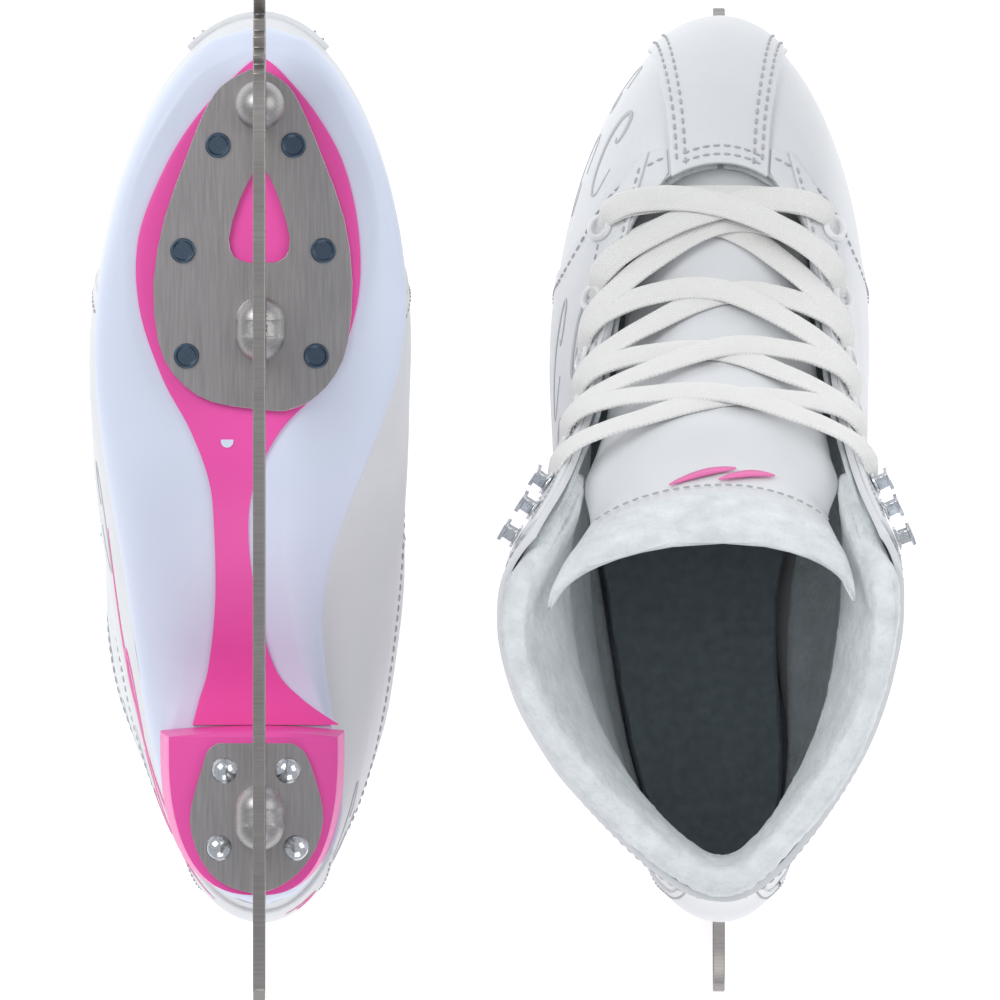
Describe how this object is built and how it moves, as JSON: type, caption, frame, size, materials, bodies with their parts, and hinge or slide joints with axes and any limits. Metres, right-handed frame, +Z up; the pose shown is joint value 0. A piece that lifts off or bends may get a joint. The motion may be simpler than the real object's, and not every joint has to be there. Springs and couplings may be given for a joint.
{
  "type": "pair of ice skates",
  "caption": "Pair of laced white ice skates with pink soles, one standing on its blade and one upside down to show its riveted sole plates.",
  "frame": {"origin": "middle of the pair's bounding box, on the floor under the standing skate's blade", "axes": "+Z up, +Y towards both toes, +X towards the standing skate"},
  "size_m": [0.2354, 0.285, 0.2314],
  "materials": {
    "blade_steel": "ground and brushed",
    "plate_steel": "brushed",
    "bright_steel": "drawn and polished",
    "dark_rivet": "blued",
    "bright_rivet": "zinc plated",
    "pink_plastic": "satin moulding",
    "white_sole": "satin moulding",
    "fibre_board": "pressed fibre",
    "stiffener": "pressed sheet",
    "grey_felt": "flat pile",
    "fleece": "brushed fleece",
    "white_leather": "coated, fine grain",
    "white_enamel": "gloss",
    "lace_cotton": "flat weave"
  },
  "bodies": {
    "left_skate": {"left_blade": "blade_steel", "left_sole_plate": "plate_steel", "left_heel_plate": "plate_steel", "left_toe_stanchion": "bright_steel", "left_ball_stanchion": "bright_steel", "left_heel_stanchion": "bright_steel", "left_sole_rivets": "dark_rivet", "left_heel_rivets": "bright_rivet", "left_sole_insert": "pink_plastic", "left_heel_block": "pink_plastic", "left_outsole": "white_sole", "left_shank": "plate_steel", "left_lasting_board": "fibre_board", "left_insole": "grey_felt", "left_lining": "fleece", "left_toe_puff": "stiffener", "left_heel_counter": "stiffener", "left_vamp": "white_leather", "left_quarters": "white_leather", "left_toe_panel": "white_leather", "left_backstay": "white_leather", "left_eyestays": "white_leather", "left_collar_pad": "fleece", "left_eyelets": "white_enamel", "left_hooks": "bright_rivet", "left_tongue": "white_leather", "left_lace": "lace_cotton"},
    "left_tongue_flap": {"left_tongue_top": "white_leather"},
    "right_skate": {"right_blade": "blade_steel", "right_sole_plate": "plate_steel", "right_heel_plate": "plate_steel", "right_toe_stanchion": "bright_steel", "right_ball_stanchion": "bright_steel", "right_heel_stanchion": "bright_steel", "right_sole_rivets": "dark_rivet", "right_heel_rivets": "bright_rivet", "right_sole_insert": "pink_plastic", "right_heel_block": "pink_plastic", "right_outsole": "white_sole", "right_shank": "plate_steel", "right_lasting_board": "fibre_board", "right_insole": "grey_felt", "right_lining": "fleece", "right_toe_puff": "stiffener", "right_heel_counter": "stiffener", "right_vamp": "white_leather", "right_quarters": "white_leather", "right_toe_panel": "white_leather", "right_backstay": "white_leather", "right_eyestays": "white_leather", "right_collar_pad": "fleece", "right_eyelets": "white_enamel", "right_hooks": "bright_rivet", "right_tongue": "white_leather", "right_lace": "lace_cotton"},
    "right_tongue_flap": {"right_tongue_top": "white_leather"}
  },
  "joints": [
    {"name": "skates_apart", "type": "slide", "parent": "left_skate", "child": "right_skate", "axis": [-1, 0, 0], "range_m": [0, 0.15]},
    {"name": "left_tongue_flex", "type": "hinge", "parent": "left_skate", "child": "left_tongue_flap", "pos_m": [0.06445, 0.002, 0.193], "axis": [1, 0, 0], "range_deg": [0, 10], "stiffness_Nm_per_rad": 0.5},
    {"name": "right_tongue_flex", "type": "hinge", "parent": "right_skate", "child": "right_tongue_flap", "pos_m": [-0.0672, 0.002, 0.03779], "axis": [-1, 0, 0], "range_deg": [0, 10], "stiffness_Nm_per_rad": 0.5}
  ]
}
